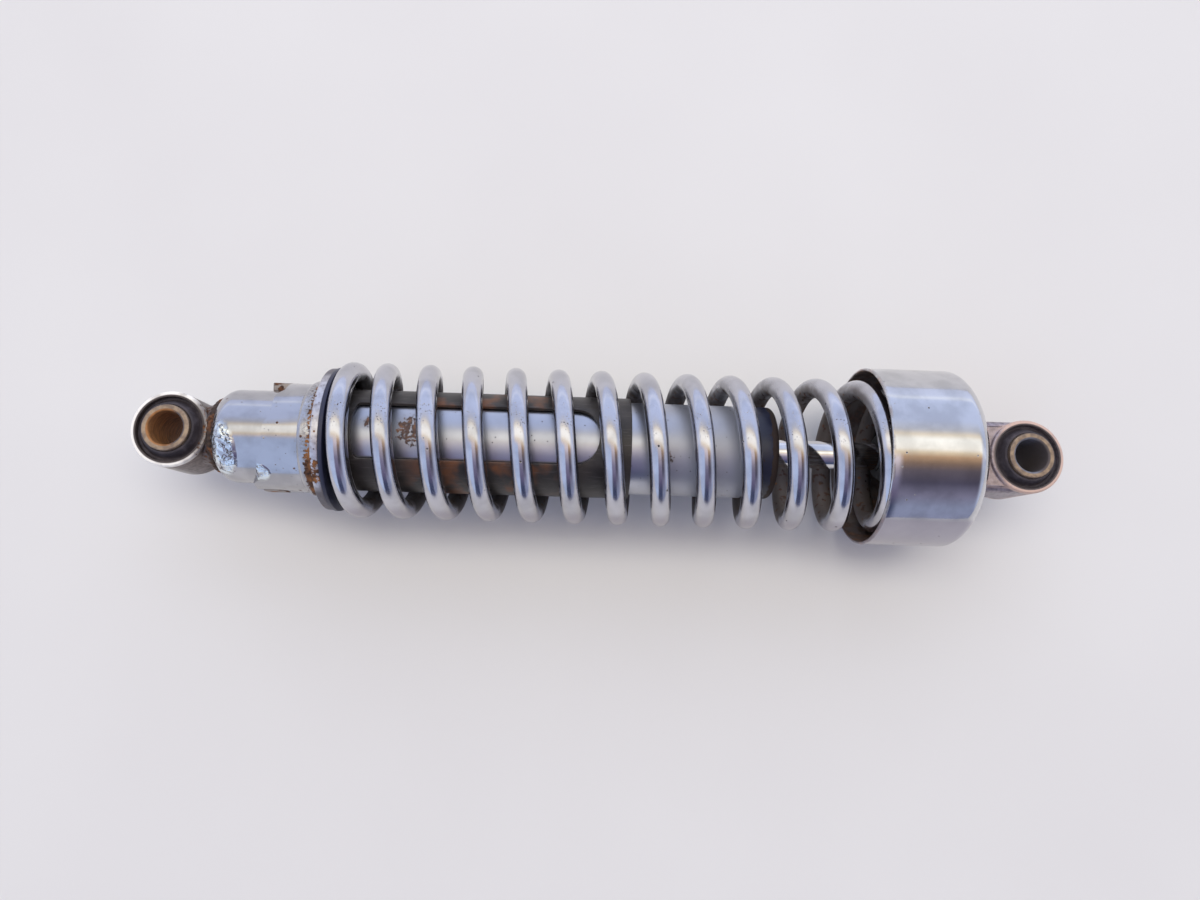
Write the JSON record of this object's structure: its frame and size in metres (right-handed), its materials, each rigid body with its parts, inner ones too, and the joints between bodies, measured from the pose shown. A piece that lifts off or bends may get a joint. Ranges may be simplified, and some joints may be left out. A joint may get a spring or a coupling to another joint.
{
  "type": "rear shock absorber",
  "caption": "Chromed coil-over motorcycle rear shock absorber: oil damper, stepped preload cam, open spring, short upper cover and a rubber-bushed eye at each end.",
  "frame": {"origin": "centre of the lower eye's bore, half way along it", "axes": "+X along the damper from the lower eye to the upper eye, +Z along the eyes' bores, +Y across both, towards one of the cam lugs"},
  "size_m": [0.359, 0.0706, 0.0706],
  "materials": {
    "forged_eye_steel": "worn plating, satin, with brown rust in the corners",
    "weld_steel": "rough and rusty",
    "bush_rubber": "dull black",
    "sleeve_steel": "turned steel with a tan oxide film",
    "tube_chrome": "bright, with rust specks and scratches",
    "cap_paint": "dark navy paint",
    "washer_steel": "zinc plate gone grey, rusty in patches",
    "guide_plastic": "dark grey nylon, rust stained",
    "spring_chrome": "bright, with pits along the crown and brown stains inside",
    "cover_chrome": "bright, fine circumferential polish lines",
    "rod_chrome": "hard chrome, ground and polished",
    "cylinder_steel": "honed steel tube",
    "sintered_iron": "sintered, fine grained",
    "valve_steel": "spring steel",
    "bush_bronze": "bronze-backed bearing",
    "ring_plastic": "filled plastic band",
    "seal_rubber": "black nitrile"
  },
  "bodies": {
    "lower_sleeve": {"lower_bushing_sleeve": "sleeve_steel"},
    "damper": {"lower_eye": "forged_eye_steel", "lower_eye_weld": "weld_steel", "lower_bushing_rubber": "bush_rubber", "damper_tube": "tube_chrome", "tube_end_cap": "cap_paint", "cam_lugs": "weld_steel", "inner_cylinder": "cylinder_steel", "foot_valve_body": "sintered_iron", "foot_valve_pin": "valve_steel", "foot_valve_spring": "valve_steel", "compression_shims": "valve_steel", "coil_spring": "spring_chrome", "rod_guide": "sintered_iron", "rod_guide_bush": "bush_bronze", "seal_washer": "washer_steel", "oil_seal": "seal_rubber", "garter_spring": "valve_steel", "dust_wiper": "seal_rubber"},
    "rod_and_cover": {"piston_rod": "rod_chrome", "cover": "cover_chrome", "upper_spring_seat": "washer_steel", "bump_stop": "bush_rubber", "bump_stop_washer": "washer_steel", "rod_lock_nut": "washer_steel", "upper_eye": "forged_eye_steel", "upper_bushing_rubber": "bush_rubber", "piston": "sintered_iron", "piston_ring": "ring_plastic", "check_spring": "valve_steel", "check_stop_washer": "valve_steel", "rebound_shims": "valve_steel", "rebound_valve_spring": "valve_steel", "piston_nut": "valve_steel", "rebound_stop_collar": "valve_steel", "rebound_bumper": "bush_rubber"},
    "spring_seat": {"seat_washer": "washer_steel", "spring_guide": "guide_plastic"},
    "preload_cam": {"adjusting_cam": "tube_chrome"},
    "foot_plate": {"foot_valve_plate": "valve_steel"},
    "piston_check": {"check_plate": "valve_steel"},
    "upper_sleeve": {"upper_bushing_sleeve": "sleeve_steel"}
  },
  "joints": [
    {"name": "lower_eye_twist", "type": "hinge", "parent": "lower_sleeve", "child": "damper", "pos_m": [0, 0, 0], "axis": [0, 0, 1], "range_deg": [-15, 15], "stiffness_Nm_per_rad": 15},
    {"name": "shock_travel", "type": "slide", "parent": "damper", "child": "rod_and_cover", "axis": [1, 0, 0], "range_m": [-0.054, 0], "stiffness_N_per_m": 17800, "springref_m": 0.012, "deforming": ["coil_spring", "bump_stop"]},
    {"name": "upper_eye_twist", "type": "hinge", "parent": "rod_and_cover", "child": "upper_sleeve", "pos_m": [0.33, 0, 0], "axis": [0, 0, 1], "range_deg": [-15, 15], "stiffness_Nm_per_rad": 15},
    {"name": "preload_lift", "type": "slide", "parent": "damper", "child": "spring_seat", "axis": [1, 0, 0], "range_m": [0, 0.0088], "deforming": ["coil_spring"]},
    {"name": "cam_turn", "type": "hinge", "parent": "spring_seat", "child": "preload_cam", "pos_m": [0.057, 0, 0], "axis": [-1, 0, 0], "range_deg": [0, 144]},
    {"name": "foot_plate_lift", "type": "slide", "parent": "damper", "child": "foot_plate", "axis": [1, 0, 0], "range_m": [0, 0.0008], "stiffness_N_per_m": 200, "springref_m": -0.0004, "deforming": ["foot_valve_spring"]},
    {"name": "check_plate_lift", "type": "slide", "parent": "rod_and_cover", "child": "piston_check", "axis": [1, 0, 0], "range_m": [0, 0.0008], "stiffness_N_per_m": 200, "springref_m": -0.0004, "deforming": ["check_spring"]}
  ],
  "couplings": [
    {"joint": "cam_turn", "follows": "preload_lift", "rad_per_m": 285.6}
  ]
}
